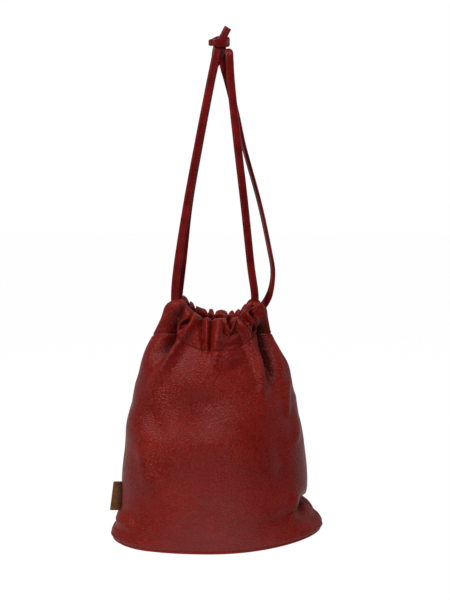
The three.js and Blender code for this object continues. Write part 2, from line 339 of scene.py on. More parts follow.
# How far the rim lies below its top level, at places across the bag.
RIM_DROP = [
    (-66, 12), (-63, 7), (-59, 2.5), (-54, 0), (-50, -1.5), (-46, -1.5), (-42, 2), (-37, 8),
    (-31, 13), (-24, 17), (-9, 19), (10, 18.5), (18, 16), (24, 12), (28, 7), (32, 3), (36, 1.5),
    (40, 2), (44, 5), (48, 10),
]
RIM_SPREAD = (-2, -1, 0, 1, 2)
# Height, half the width, half the depth.
BODY_PROFILE = [
    (0, 122, 51.5),
    (5, 125.5, 54.5),
    (12, 122, 57),
    (26, 112, 60.5),
    (78, 111, 67),
    (120, 105.5, 67),
    (160, 98.5, 62),
    (200, 87, 53),
    (242, 67, 40),
    (280, 56, 29),
]
# How far the section lies to the side of BODY_X, at the heights named first.
LEAN = [
    (0, -0.5), (60, 0), (110, -1), (140, -3), (165, -1), (190, -4), (215, -4), (240, -2), (280, 0),
]
OVAL = 0.9
LENS_FROM = 160
SLIT_HALF = 7.0
FOOT_WIDTH = 5.5
FOOT_ENDS = (20, 34)
PINCH_WIDTH = 7.0
PINCH_HEIGHT, PINCH_SPREAD = 36, 5
FLARE_WIDTH = 7.0
FLARE_HEIGHT, FLARE_SPREAD = 25, 9
body_profile = smooth_route([Vector(p) for p in BODY_PROFILE], 16)


def profile_at(height):
    height = min(max(height, 0.0), WALL_HEIGHT)
    for low, high in zip(body_profile, body_profile[1:]):
        if height <= high.x:
            share = (height - low.x) / (high.x - low.x)
            return mix(low.y, high.y, share), mix(low.z, high.z, share)
    return body_profile[-1].y, body_profile[-1].z


def table_at(table, place):
    if place <= table[0][0]:
        return table[0][1]
    for (low, a), (high, b) in zip(table, table[1:]):
        if place <= high:
            return mix(a, b, (place - low) / (high - low))
    return table[-1][1]


def sag_at(share, height):
    past = max(0.0, (abs(share + BASE_SKEW) - FLAT_SHARE) / (1 - FLAT_SHARE + BASE_SKEW))
    base = BASE_SAG * (1 - past ** 2)
    place = BODY_X + share * BODY_PROFILE[-1][1]
    rim = sum(table_at(RIM_DROP, place + shift) for shift in RIM_SPREAD) / len(RIM_SPREAD)
    return mix(base, rim, ramp(height, 150, WALL_HEIGHT))


def wall_point(turn, height):
    """A point of the front wall, in mm. turn is 0 at the right side seam, pi at the left."""
    half_width, half_depth = profile_at(height)
    lens = ramp(height, LENS_FROM, WALL_HEIGHT)
    slit = SLIT_HALF * ramp(height, WALL_HEIGHT - HEM_DEPTH, WALL_HEIGHT)
    c, s = math.cos(turn), math.sin(turn)
    side = oval(c, mix(OVAL, 1, lens))
    front = mix(abs(s) ** OVAL, s * s, lens)
    foot = FOOT_WIDTH * (1 - ramp(height, *FOOT_ENDS))
    foot -= PINCH_WIDTH * bell(height, PINCH_HEIGHT, PINCH_SPREAD)
    foot *= max(0.0, side) ** 2
    foot -= FLARE_WIDTH * min(0.0, side) ** 2 * bell(height, FLARE_HEIGHT, FLARE_SPREAD)
    return Vector((
        BODY_X + table_at(LEAN, height) + half_width * side + foot,
        -(slit + (half_depth - slit) * front),
        TOP_LEVEL - WALL_HEIGHT + height - sag_at(side, height),
    ))


print("mouth corner:", wall_point(math.pi, WALL_HEIGHT))

# %% [markdown]
# ## Folds
#
# Soft leather that is gathered on a strap falls into folds. A fold is drawn as a line over the
# front or the back, in the bag's own width and height, with a width and a depth. A vertex near
# the line moves in or out, most on the line and less away from it. A pinch also draws the
# leather sideways to the line, which makes the narrow, dark creases near the mouth.

# %% One fold
FOLD_REACH = 3


def fold(line, width, depth, pinch, fade_in, fade_out):
    points = [Vector((x, z)) for x, z in line]
    lengths = [0.0]
    for a, b in zip(points, points[1:]):
        lengths.append(lengths[-1] + (b - a).length)
    reach = FOLD_REACH * width
    low = Vector((min(p.x for p in points) - reach, min(p.y for p in points) - reach))
    high = Vector((max(p.x for p in points) + reach, max(p.y for p in points) + reach))
    return points, lengths, width, depth, pinch, fade_in, fade_out, low, high


def fold_pull(shape, place):
    """How far one fold moves a place in or out, and sideways, in mm."""
    points, lengths, width, depth, pinch, fade_in, fade_out, low, high = shape
    if not (low.x < place.x < high.x and low.y < place.y < high.y):
        return 0.0, 0.0
    nearest, along, side = 1e9, 0.0, 0.0
    for k, (a, b) in enumerate(zip(points, points[1:])):
        run = b - a
        share = min(1.0, max(0.0, (place - a).dot(run) / run.length_squared))
        apart = place - (a + run * share)
        if apart.length < nearest:
            nearest, side = apart.length, apart.x
            along = (lengths[k] + share * run.length) / lengths[-1]
    strength = ramp(along, -0.001, fade_in) * (1 - ramp(along, 1 - fade_out, 1.001))
    pull = bell(nearest, 0, width) * strength
    return depth * pull, -side * pinch * pull


# %% [markdown]
# The front's folds follow the photo: a broad smooth roll down from each corner, a long ridge
# inside each roll, a deep dark valley at the right, two close pleats left of the middle, a
# V-shaped pleat right of it and a small finger beside that. Each line runs downwards, and is
# followed by its width, its depth, its pinch and the shares of it that fade in and out. Depths
# below zero go into the bag.

# %% Front folds
FRONT_FOLDS = [
    fold([(-50, -276), (-58, -294), (-68, -313), (-79, -336), (-90, -362), (-97, -390)],
         11, 7.0, 0, 0.05, 0.5),
    fold([(-44, -290), (-50, -301), (-54, -312), (-59, -326), (-67, -344), (-77, -364)],
         4.6, -13.0, 0.4, 0.12, 0.5),
    fold([(-41, -283), (-44, -290), (-46, -298)], 1.8, -7.0, 0.4, 0.02, 0.4),
    fold([(-35, -298), (-43, -301), (-48.5, -306), (-51.5, -314), (-52, -326)],
         2.3, 7.0, 0.0, 0.1, 0.4),
    fold([(-37, -303), (-43, -306.5), (-46, -312), (-46.5, -320)], 1.5, -7.0, 0.3, 0.1, 0.4),
    fold([(-30.5, -288), (-36, -300), (-41, -308)], 1.7, -7.0, 0.4, 0.02, 0.4),
    fold([(-25, -288), (-33, -303), (-42, -318), (-52, -333), (-63, -349), (-78, -373),
          (-92, -397)],
         5.6, 9.0, 0.2, 0.1, 0.5),
    fold([(-22, -290), (-22.5, -312), (-20.5, -348)], 2.2, -8.5, 0.5, 0.05, 0.6),
    fold([(-17, -286), (-17, -312), (-17.5, -342)], 3.0, 3.5, 0.0, 0.02, 0.4),
    fold([(-11.5, -290), (-12, -312), (-15.5, -350)], 2.0, -8.5, 0.5, 0.05, 0.6),
    fold([(-3.5, -286), (-4, -312), (-7, -338), (-14, -372)], 5.5, 5.5, 0.0, 0.02, 0.6),
    fold([(8.5, -282), (8.5, -296), (8.5, -309)], 2.6, -16.0, 0.5, 0.02, 0.2),
    fold([(2, -299), (8.4, -314.5), (14.6, -299)], 1.8, 6.0, 0.0, 0.1, 0.1),
    fold([(-1, -311), (8.5, -321), (18, -310)], 3.0, -4.5, 0.0, 0.3, 0.3),
    fold([(5, -330), (8, -342), (14, -356)], 14.0, 4.0, 0.0, 0.3, 0.5),
    fold([(18, -283), (26, -294), (35, -308)], 2.1, 9.5, 0.0, 0.02, 0.1),
    fold([(25, -282), (31, -292), (36.5, -301)], 1.9, -12.0, 0.4, 0.02, 0.2),
    fold([(14, -286), (22, -298), (30, -310)], 2.0, -11.0, 0.35, 0.02, 0.3),
    fold([(17, -298), (26, -315), (34, -332), (41, -350), (46, -370), (49, -402)],
         4.8, 9.0, 0.15, 0.1, 0.5),
    fold([(30, -282), (36, -300), (39, -320), (42, -336)], 2.4, 4.5, 0.0, 0.02, 0.4),
    fold([(33, -286), (36, -306), (37, -322)], 1.9, -9.0, 0.4, 0.02, 0.3),
    fold([(41, -300), (44, -314), (48, -330), (52, -346), (57, -366), (60, -386)],
         4.6, -14.0, 0.4, 0.25, 0.5),
    fold([(42, -278), (52, -298), (60, -320), (68, -344), (75, -370), (80, -402)],
         8.5, 8.0, 0.0, 0.02, 0.4),
    fold([(-60, -322), (-72, -340), (-84, -356)], 3.0, -2.5, 0.1, 0.3, 0.4),
    fold([(73, -372), (76, -395), (77, -418)], 3.2, 2.6, 0.0, 0.3, 0.3),
    fold([(82, -404), (86, -426), (86, -452)], 4.0, 3.0, 0.0, 0.3, 0.3),
    fold([(-92, -390), (-80, -416), (-62, -440)], 13.0, -4.0, 0.0, 0.4, 0.4),
    fold([(-20, -368), (-26, -400), (-20, -446)], 27.0, -8.5, 0.0, 0.35, 0.5),
    fold([(-96, -440), (-88, -470), (-84, -500)], 9.0, 2.6, 0.0, 0.3, 0.3),
    fold([(60, -420), (70, -460), (74, -510)], 10.0, -2.5, 0.0, 0.4, 0.4),
    fold([(88, -496), (85, -518), (81, -544)], 5.0, 3.5, 0.1, 0.4, 0.3),
    fold([(99, -508), (95, -522), (91, -538)], 4.4, -6.0, 0.2, 0.4, 0.3),
    fold([(-112, -524), (-104, -538), (-96, -552)], 7.0, -2.5, 0.1, 0.4, 0.4),
]
print("front folds:", len(FRONT_FOLDS))

# %% [markdown]
# The back's gathers stand over the near rim. The rest of it is a guess: the pleats fan out
# downwards, longer and shorter by turns, and a few broad dents follow under them.

# %% Back folds
BACK_PLEATS = [-58, -48, -39, -30.5, -17, -9, 7, 14.5, 21.5, 28, 36, 43]


def make_back_folds():
    picker = random.Random(11)
    folds = []
    for k, x in enumerate(BACK_PLEATS):
        spread = picker.uniform(1.05, 1.5)
        length = picker.choice((14, 24, 36, 52, 78)) * picker.uniform(0.9, 1.1)
        low_x = BODY_X + (x - BODY_X) * spread
        folds.append(fold(
            [(x, -276), (mix(x, low_x, 0.4), -318), (low_x, -318 - length)],
            picker.uniform(1.0, 1.4), -picker.uniform(6.0, 9.0), 0.25, 0.02, 0.5,
        ))
        if k + 1 < len(BACK_PLEATS):
            gap = BACK_PLEATS[k + 1] - x
            ridge = x + gap / 2
            folds.append(fold(
                [(ridge, -276), (BODY_X + (ridge - BODY_X) * spread, -322 - length)],
                gap * 0.42, picker.uniform(2.5, 5.0), 0.0, 0.02, 0.5,
            ))
    folds.append(fold([(-66, -380), (-80, -430), (-84, -480)], 14, -3, 0, 0.3, 0.4))
    folds.append(fold([(48, -372), (66, -424), (78, -500)], 15, -3, 0, 0.3, 0.4))
    folds.append(fold([(-10, -360), (-4, -410)], 16, -2.5, 0, 0.3, 0.4))
    return folds


BACK_FOLDS = make_back_folds()
print("back folds:", len(BACK_FOLDS))

# %% [markdown]
# Leather this soft is never quite even, so a slow, low noise is added to the filled wall. In
# the hem the strap stands behind the leather, so that a fold can't go in far there. The front's
# inner leaf stays nearly straight. The back's is pleated too, because it shows over the near
# rim. The rim itself dips where a pleat goes in, and most in the front's V-shaped notch.

# %% The wall with its folds
UNEVEN_SIZE = 46.0
UNEVEN_DEPTH = 1.5
STITCH_HEIGHT = WALL_HEIGHT - HEM_DEPTH
FOLD_RADIUS = LEATHER + HEM_BORE / 2
HEM_SHARE = 0.35
HEM_PUFF = 3.0
LEAF_SHARE = 0.25
NOTCH_X = 8.5
NOTCH_WIDTH = 2.9
NOTCH_DEPTH = 6.5
FRONT_LIFT = (0.25, -12.0, 5.0)
BACK_LIFT = (0.42, -6.5, 3.0)
BACK_RIM_DROP = 2.6
BACK_INNER_SHARE = 0.55
CREASE_SHADE_WIDTH = 6.0
CREASE_SHADE_DEPTH = 9.0
SEAM_EASE = 0.16
TURN_STEP = 0.012
HEIGHT_STEP = 1.5


def outward_at(turn, height):
    near = min(max(turn, 2 * TURN_STEP), math.pi - 2 * TURN_STEP)
    along = wall_point(near + TURN_STEP, height) - wall_point(near - TURN_STEP, height)
    low, high = max(height - HEIGHT_STEP, 0.0), min(height + HEIGHT_STEP, WALL_HEIGHT)
    up = wall_point(near, high) - wall_point(near, low)
    return up.cross(along).normalized()


def folded_point(turn, height, inset, folds, facing):
    """A point of the folded wall, the way outwards there, and how much painted crease shade it
    gets.
    """
    flat = wall_point(turn, height)
    outward = outward_at(turn, height)
    place = Vector((flat.x, flat.z))
    out, across, crease_shade = 0.0, 0.0, 0.0
    for shape in folds:
        a, b = fold_pull(shape, place)
        out += a
        across += b
        # Narrow folds that go in add painted shade, and narrow ridges take some of it away.
        if shape[2] < CREASE_SHADE_WIDTH:
            crease_shade -= a / CREASE_SHADE_DEPTH
    seed = Vector((flat.x, 40 * facing, flat.z)) / UNEVEN_SIZE
    out += UNEVEN_DEPTH * ramp(height, 0, 40) * noise.noise(seed) * 2
    edge = min(turn, math.pi - turn)
    out *= ramp(edge, 0.0, SEAM_EASE)
    across *= ramp(edge, 0.0, SEAM_EASE)
    hem = ramp(height, STITCH_HEIGHT, STITCH_HEIGHT + 14)
    gather = ramp(height, WALL_HEIGHT - 16, WALL_HEIGHT)
    share, deepest, highest = FRONT_LIFT if facing > 0 else BACK_LIFT
    lift = share * max(deepest, min(highest, out))
    if facing > 0:
        lift -= NOTCH_DEPTH * bell(flat.x, NOTCH_X, NOTCH_WIDTH)
    else:
        lift -= BACK_RIM_DROP
    lift *= gather
    inner = hem * ramp(inset, 0, 2 * FOLD_RADIUS)
    inner_pleat = BACK_INNER_SHARE * min(0.0, out) if facing < 0 else 0.0
    if out < 0:
        out *= mix(1.0, HEM_SHARE, hem)
    puff = HEM_PUFF * hem * ramp(edge, 0.1, 0.5)
    out = (out + puff) * mix(1.0, LEAF_SHARE, inner) + inner * inner_pleat
    moved = flat + outward * out + Vector((across, 0, lift))
    return moved, outward, min(1.0, crease_shade)


# %% [markdown]
# ## The front and back panels
#
# Each panel is one piece of leather with its top edge folded in. The grid's rows run up the
# outside, over the fold and down the inside of the hem to the line of stitches, where both
# leaves meet. Rows lie closer together at the stitches, so that the thread can sink in.

# %% Panel rows
FOLD_ROWS = 12
LEAF_ROWS = 14


def row_step(height):
    if height <= 8:
        return 1.0
    if abs(height - STITCH_HEIGHT) < 3:
        return 0.55
    return 1.2 if height > STITCH_HEIGHT - 20 else 2.0


def panel_rows():
    """Each row's height, and how far it lies behind the outside of the wall, in mm."""
    rows = []
    height = 0.0
    fold_foot = WALL_HEIGHT - FOLD_RADIUS
    while height < fold_foot - 0.3:
        rows.append((height, 0.0))
        height += row_step(height)
    for k in range(FOLD_ROWS + 1):
        angle = math.pi * k / FOLD_ROWS
        top = fold_foot + FOLD_RADIUS * math.sin(angle)
        rows.append((top, FOLD_RADIUS * (1 - math.cos(angle))))
    for k in range(1, LEAF_ROWS + 1):
        share = k / LEAF_ROWS
        inset = mix(2 * FOLD_RADIUS, 2 * LEATHER, ramp(share, 0.3, 1))
        rows.append((mix(fold_foot, STITCH_HEIGHT, share), inset))
    return rows


PANEL_ROWS = panel_rows()
PANEL_COLUMNS = 170
SEAM_TUCK = 2.2
SEAM_TUCK_WIDTH = 2.4
SEAM_TUCK_ENDS = (235, 250)
STITCH_GROOVE = 1.2
STITCH_SHADE = 0.9
print("rows:", len(PANEL_ROWS))

# %% [markdown]
# The two panels meet at the sides, where their edges turn in. Drawing the last few millimetres
# inwards leaves the seam as a soft groove. The hem's line of stitches pulls the leather into a
# narrow groove too, which gets the same painted shade as a crease, so that it shows dark.

# %% Make the panels
def panel_point(turn, height, inset, folds, facing):
    moved, outward, crease_shade = folded_point(turn, height, inset, folds, facing)
    edge = min(turn, math.pi - turn) * profile_at(height)[1]
    tuck = SEAM_TUCK * bell(edge, 0, SEAM_TUCK_WIDTH) * (1 - ramp(height, *SEAM_TUCK_ENDS))
    line = bell(height, STITCH_HEIGHT, 1.0) if inset == 0 else 0.0
    level = Vector((outward.x, outward.y, 0)).normalized()
    behind = (level if inset else outward) * (inset + STITCH_GROOVE * line)
    p = moved - behind + Vector((-math.copysign(tuck, math.cos(turn)), 0, 0))
    p.y = min(p.y, 0.0)
    # Painted shade: the crease value and the stitch groove's share of it darken the colour here.
    return Vector((p.x, p.y * facing, p.z)) * MM, max(crease_shade, STITCH_SHADE * line)


def thicken(piece, thickness, offset):
    wall = piece.modifiers.new("leather", "SOLIDIFY")
    wall.thickness = thickness * MM
    wall.offset = offset


def make_panel(name, folds, facing):
    bm = bmesh.new()
    rows = len(PANEL_ROWS) - 1
    # Each vertex keeps its painted crease shade, which the leather's colour reads.
    crease_shades = bm.verts.layers.float.new("crease_shade")
    grid = bmesh.ops.create_grid(bm, x_segments=PANEL_COLUMNS, y_segments=rows, size=1)
    for vertex in grid["verts"]:
        turn = math.pi * (1 - vertex.co.x) / 2
        height, inset = PANEL_ROWS[round((vertex.co.y + 1) / 2 * rows)]
        vertex.co, vertex[crease_shades] = panel_point(turn, height, inset, folds, facing)
    if facing < 0:
        bmesh.ops.reverse_faces(bm, faces=bm.faces)
    piece = as_object(bm, name + "_leather", [name])
    thicken(piece, LEATHER, -1)
    return piece


front = make_panel("front_panel", FRONT_FOLDS, 1)
back = make_panel("back_panel", BACK_FOLDS, -1)

# %% [markdown]
# ## The base
#
# The base is a stiff oval, two layers thick, and its turned edge makes a rounded rim that
# stands a little proud of the wall. A grid is rolled up into a disc: its first row is the
# middle, and its last rows curl up round the rim. It sags in the middle under the load.

# %% Make the base
RIM_RADIUS = 2.4
RIM_LIFT = 0.7
RIM_INSET = 1.0
PLATE_UNEVEN = 1.2
BASE_SIDES = 300
BASE_FLAT_ROWS = 34
BASE_RIM_ROWS = 10


def base_edge(turn):
    front = turn <= math.pi
    edge = wall_point(turn if front else 2 * math.pi - turn, 0.0)
    return Vector((edge.x, edge.y if front else -edge.y, edge.z))


def base_point(turn, row):
    edge = base_edge(turn)
    middle = Vector((BODY_X, 0, edge.z))
    out = Vector((edge.x - BODY_X, edge.y * 3, 0)).normalized()
    if row <= BASE_FLAT_ROWS:
        share = row / BASE_FLAT_ROWS
        flat = middle.lerp(edge - out * RIM_INSET, share)
        z = TOP_LEVEL - WALL_HEIGHT - sag_at((flat.x - BODY_X) / profile_at(0)[0], 0)
        flat.z = z - RIM_RADIUS + RIM_LIFT - PLATE_UNEVEN * noise.noise(flat / 40)
        if share > 0.9:
            flat.z -= 0.4 * ramp(share, 0.9, 0.97) * (1 - ramp(share, 0.97, 1.0))
        return flat * MM
    angle = math.pi * (row - BASE_FLAT_ROWS) / BASE_RIM_ROWS - math.pi / 2
    centre = edge - out * RIM_INSET + Vector((0, 0, RIM_LIFT))
    return (centre + (out * math.cos(angle) + Vector((0, 0, math.sin(angle)))) * RIM_RADIUS) * MM


def make_base():
    bm = bmesh.new()
    rows = BASE_FLAT_ROWS + BASE_RIM_ROWS
    grid = bmesh.ops.create_grid(bm, x_segments=BASE_SIDES, y_segments=rows, size=1)
    for vertex in grid["verts"]:
        row = round((vertex.co.y + 1) / 2 * rows)
        column = round((vertex.co.x + 1) / 2 * BASE_SIDES)
        vertex.co = base_point(2 * math.pi * column / BASE_SIDES, row)
    bmesh.ops.remove_doubles(bm, verts=bm.verts, dist=1e-6)
    bmesh.ops.recalc_face_normals(bm, faces=bm.faces)
    centre = Vector((BODY_X * MM, 0))
    middle = min(bm.faces, key=lambda f: (f.calc_center_median().xy - centre).length)
    if middle.normal.z > 0:
        bmesh.ops.reverse_faces(bm, faces=bm.faces)
    piece = as_object(bm, "base_leather", ["base_panel"])
    thicken(piece, LEATHER, -1)
    return piece


base = make_base()

# %% [markdown]
# ## Thread
#
# The hem is closed by one line of machine stitches, about seven to the inch. Each stitch is a
# short bead that lies in the groove, so that it catches a little light as the real one does.

# %% Stitches
STITCH_PITCH = 3.6
STITCH_LENGTH = 2.5
STITCH_THICKNESS = 0.75
STITCH_LIFT = 0.1
LINE_SAMPLES = 400
LINE_END = 0.03


def add_bead(bm, place, ahead, outward, length, thickness):
    side = ahead.cross(outward).normalized()
    turn = Matrix((ahead, side, outward.normalized())).transposed().to_4x4()
    size = Matrix.Diagonal((length / 2, thickness / 2, thickness / 2, 1))
    matrix = Matrix.Translation(place) @ turn @ size
    bmesh.ops.create_icosphere(bm, subdivisions=1, radius=1, matrix=matrix)


def make_hem_stitches():
    bm = bmesh.new()
    for folds, facing in ((FRONT_FOLDS, 1), (BACK_FOLDS, -1)):
        line = []
        for k in range(LINE_SAMPLES):
            turn = mix(LINE_END, math.pi - LINE_END, k / (LINE_SAMPLES - 1))
            line.append(panel_point(turn, STITCH_HEIGHT, 0.0, folds, facing)[0])
        spots = even_route(line, STITCH_PITCH * MM)
        for a, b in zip(spots, spots[1:]):
            ahead = (b - a).normalized()
            outward = Vector((ahead.y, -ahead.x, 0)) * -facing
            place = (a + b) / 2 + outward.normalized() * STITCH_LIFT * MM
            add_bead(bm, place, ahead, outward, STITCH_LENGTH * MM, STITCH_THICKNESS * MM)
    return as_object(bm, "hem_stitches")


hem_stitches = make_hem_stitches()

# %% [markdown]
# The folded strap is closed by a finer row near one edge, on its outward face.

# %% Strap stitches
STRAP_STITCH_PITCH = 3.4
STRAP_STITCH_LENGTH = 2.0
STRAP_STITCH_THICKNESS = 0.6
STITCH_ACROSS = 0.3
STITCH_OUT = 0.42


def make_strap_stitches():
    bm = bmesh.new()
    path = even_route(strap_path, STRAP_STITCH_PITCH * MM)
    for k, (point, across, out) in enumerate(strap_frames(path, strap_face_at)[:-1]):
        ahead = (path[k + 1] - point).normalized()
        place = point - across * STRAP_WIDTH * STITCH_ACROSS + out * STRAP_THICKNESS * STITCH_OUT
        add_bead(bm, place, ahead, out, STRAP_STITCH_LENGTH * MM, STRAP_STITCH_THICKNESS * MM)
    return as_object(bm, "strap_stitches")


strap_stitches = make_strap_stitches()

# %% [markdown]
# ## The tab
#
# A strip of brown leather is folded in half, and its two ends are held in the left side seam.
# The U of its outline is extruded upwards in rows, then given its thickness. It stays blank.

# %% Make the tab
TAB_LEATHER = 1.1
TAB_REACH = 15.0
TAB_TURN = 1.2
TAB_BEND = 0.95
TAB_SWELL = 0.25
TAB_STEPS = 8
TAB_ROWS = 12
TAB_BOW = 0.5
tab_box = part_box("side_tab")
print("tab box:", tab_box)


def tab_outline():
    """The strip's middle line seen from above, as x and y in mm."""
    back, front = [], []
    for k in range(TAB_STEPS + 1):
        swell = TAB_BEND + TAB_SWELL * math.sin(math.pi * k / TAB_STEPS)
        back.append((mix(TAB_REACH, TAB_TURN, k / TAB_STEPS), -swell))
        front.append((mix(TAB_TURN, TAB_REACH, k / TAB_STEPS), swell))
    bend = []
    for k in range(1, TAB_STEPS):
        angle = -math.pi / 2 - math.pi * k / TAB_STEPS
        bend.append((TAB_TURN + TAB_BEND * math.cos(angle), TAB_BEND * math.sin(angle)))
    return back + bend + front


def make_tab():
    bm = bmesh.new()
    low, high = tab_box
    top = Vector((low[0] / MM + 0.2, 0, high[2] / MM + 0.4))
    bottom = Vector((low[0] / MM - 4.7, 0, low[2] / MM - 1.1))
    ring = [bm.verts.new((bottom + Vector((x, y, 0))) * MM) for x, y in tab_outline()]
    edges = [bm.edges.new(pair) for pair in zip(ring, ring[1:])]
    for row in range(TAB_ROWS):
        grown = bmesh.ops.extrude_edge_only(bm, edges=edges)["geom"]
        verts = [g for g in grown if isinstance(g, bmesh.types.BMVert)]
        edges = [g for g in grown if isinstance(g, bmesh.types.BMEdge)]
        here, before = (math.sin(math.pi * k / TAB_ROWS) for k in (row + 1, row))
        step = (top - bottom) / TAB_ROWS * MM + Vector((0, TAB_BOW * MM * (here - before), 0))
        bmesh.ops.translate(bm, verts=verts, vec=step)
    bmesh.ops.recalc_face_normals(bm, faces=bm.faces)
    piece = as_object(bm, "brown_tab", ["side_tab"])
    thicken(piece, TAB_LEATHER, 0)
    edge = piece.modifiers.new("edge", "BEVEL")
    edge.width = 0.25 * MM
    edge.segments = 2
    edge.limit_method = "ANGLE"
    return piece


tab = make_tab()

# %% [markdown]
# ## The knot
#
# The strap's two ends are joined in one overhand knot on top of the left loop. A band crosses
# its front and narrows to the left, where it is pulled tight, and one tail stands up to the
# right. The same strap section is wrapped round each route: the band, both tails and the strand
# that passes under the band to the back.

# %% Knot routes
KNOT_CENTRE = Vector((-3.8, 0, 12))
KNOT_BAND_MM = [
    (4.0, 3.2, 11.8),
    (7.0, 0.6, 12.2),
    (5.6, -4.4, 12.2),
    (0.5, -7.6, 11.9),
    (-5.6, -8.6, 12.2),
    (-10.4, -7.0, 11.9),
    (-13.4, -2.8, 11.4),
    (-12.0, 2.4, 11.2),
    (-7.9, 5.8, 12.4),
    (-1.2, 6.2, 13.4),
    (4.2, 4.0, 14.0),
]
KNOT_TAIL_MM = [
    (-7.6, -4.6, -3.2),
    (-6.2, -4.8, 4.5),
    (-4.0, -4.4, 9.5),
    (-1.2, -4.0, 13.0),
    (0.6, -3.4, 16.6),
    (2.8, -2.5, 20.5),
    (4.9, -1.5, 24.7),
    (6.6, -0.6, 27.6),
]
KNOT_BACK_MM = [
    (-7.6, 5.4, -5.0),
    (-5.6, 4.6, 3.0),
    (-2.6, 3.4, 9.0),
    (0.6, 2.4, 14.0),
    (2.8, 2.6, 18.5),
    (3.6, 3.4, 22.5),
]
KNOT_TONGUE_MM = [
    (2.9, -3.4, 13.2),
    (2.0, -4.4, 8.4),
    (0.6, -2.0, 3.4),
    (-1.4, 3.0, -2.0),
    (-4.5, 5.6, -9.0),
    (-8.0, 6.6, -16.0),
]
TOWARDS_FRONT = Vector((0.1, -1, 0.1))
BAND_SIZES = (0.74, 1.14)
BAND_ENDS = (-13.5, -4.0)
KNOT_STEP = 1.0 * MM
KNOT_STRANDS = (
    (KNOT_BAND_MM, None, 1.06),
    (KNOT_TAIL_MM, TOWARDS_FRONT, 0.92),
    (KNOT_BACK_MM, -TOWARDS_FRONT, 0.8),
    (KNOT_TONGUE_MM, TOWARDS_FRONT, 0.7),
)


def knot_frames(points_mm, face, size):
    """Frames along one of the knot's routes. Without a face, the flat side faces outwards."""
    path = even_route(smooth_route([Vector(p) * MM for p in points_mm]), KNOT_STEP)
    frames = []
    for k, point in enumerate(path):
        ahead = (path[min(k + 1, len(path) - 1)] - path[max(k - 1, 0)]).normalized()
        away = face if face else point - KNOT_CENTRE * MM
        grown = size
        if not face:
            away = Vector((away.x, away.y, 0))
            grown *= mix(*BAND_SIZES, ramp(point.x / MM, *BAND_ENDS))
        across = ahead.cross(away.normalized()).normalized()
        out = across.cross(ahead).normalized()
        frames.append((point, across * grown, out))
    return frames


def make_knot():
    bm = bmesh.new()
    for points, face, size in KNOT_STRANDS:
        part = bmesh.new()
        wrap_strap(part, knot_frames(points, face, size), strap_section, STRAP_ROUND)
        mesh = bpy.data.meshes.new("part")
        part.to_mesh(mesh)
        part.free()
        bm.from_mesh(mesh)
        bpy.data.meshes.remove(mesh)
    return as_object(bm, "strap_knot", ["drawstring_knot"])


knot = make_knot()

# %% [markdown]
# ## Materials
#
# One small function adds a node with its settings and its links, so that each material below
# reads as a list of what goes on in it. Colours are written as sRGB hex values.

# %% Node helper
def linear(hex_colour):
    channels = [int(hex_colour[k:k + 2], 16) / 255 for k in (1, 3, 5)]
    return [c / 12.92 if c <= 0.04045 else ((c + 0.055) / 1.055) ** 2.4 for c in channels] + [1.0]


def add_node(tree, kind, settings=None, links=None):
    node = tree.nodes.new(kind)
    for name, value in (settings or {}).items():
        if isinstance(name, int) or name in node.inputs:
            node.inputs[name].default_value = value
        else:
            setattr(node, name, value)
    for name, source in (links or {}).items():
        tree.links.new(source, node.inputs[name])
    return node


def new_material(name):
    material = bpy.data.materials.new(name)
    material.use_nodes = True
    material.node_tree.nodes.clear()
    print("material:", name)
    return material, material.node_tree


# %% [markdown]
# Four parts come back in every material: the place on the piece, a noise whose lumps have a
# size in millimetres, a dye that runs from one colour to another with that noise, and the
# surface itself.

# %% Parts of a material
def object_place(tree):
    return add_node(tree, "ShaderNodeTexCoord").outputs["Object"]


def lumps(tree, place, size_mm, detail):
    return add_node(tree, "ShaderNodeTexNoise", {"Scale": 1 / (size_mm * MM), "Detail": detail},
                    {"Vector": place})


def dye_with(tree, source, first, second):
    """A colour that runs from the first to the second, each given as its place and its hex."""
    dye = add_node(tree, "ShaderNodeValToRGB", {}, {"Fac": source})
    for end, (position, colour) in zip(dye.color_ramp.elements, (first, second)):
        end.position = position
        end.color = linear(colour)
    return dye


def bump_from(tree, source, strength, relief_mm):
    return add_node(tree, "ShaderNodeBump", {"Strength": strength, "Distance": relief_mm * MM},
                    {"Height": source})


def give_surface(tree, settings, links):
    shader = add_node(tree, "ShaderNodeBsdfPrincipled", settings, links)
    add_node(tree, "ShaderNodeOutputMaterial", {}, {"Surface": shader.outputs["BSDF"]})


# %% [markdown]
# ### Pebble-grained cowhide
#
# Tumbled cowhide has rounded pebbles with fine grooves between them, which run together into
# short level wrinkles where the leather hangs. Cells of a Voronoi pattern give the pebbles, wider
# than they are tall, and a slow noise bends them so that no two are alike. The dye is a little
# darker in the grooves. The folds get painted shade, much darker where a narrow fold goes in
# deep and along the hem's stitch groove. The finish is a thin wax with a soft sheen. The pebbles
# are drawn slightly coarse, so that they show.

# %% Body leather
PEBBLE_MM = 3.2
PEBBLE_STRETCH = (0.75, 0.75, 1.5)
PEBBLE_RELIEF_MM = 0.3
BEND_MM = 9
BEND_SHARE = 0.0022
GRAIN_MM = 0.9
GRAIN_SHARE = 0.06
DYE_CLOUD_MM = 42
# The painted shade colour for the folds, the hem's stitch groove and the tab's seam side.
PAINTED_SHADE = "#240402"
DYE_DARK = "#4c0805"
DYE_MIDDLE = "#5f0a03"
DYE_LIGHT = "#721106"


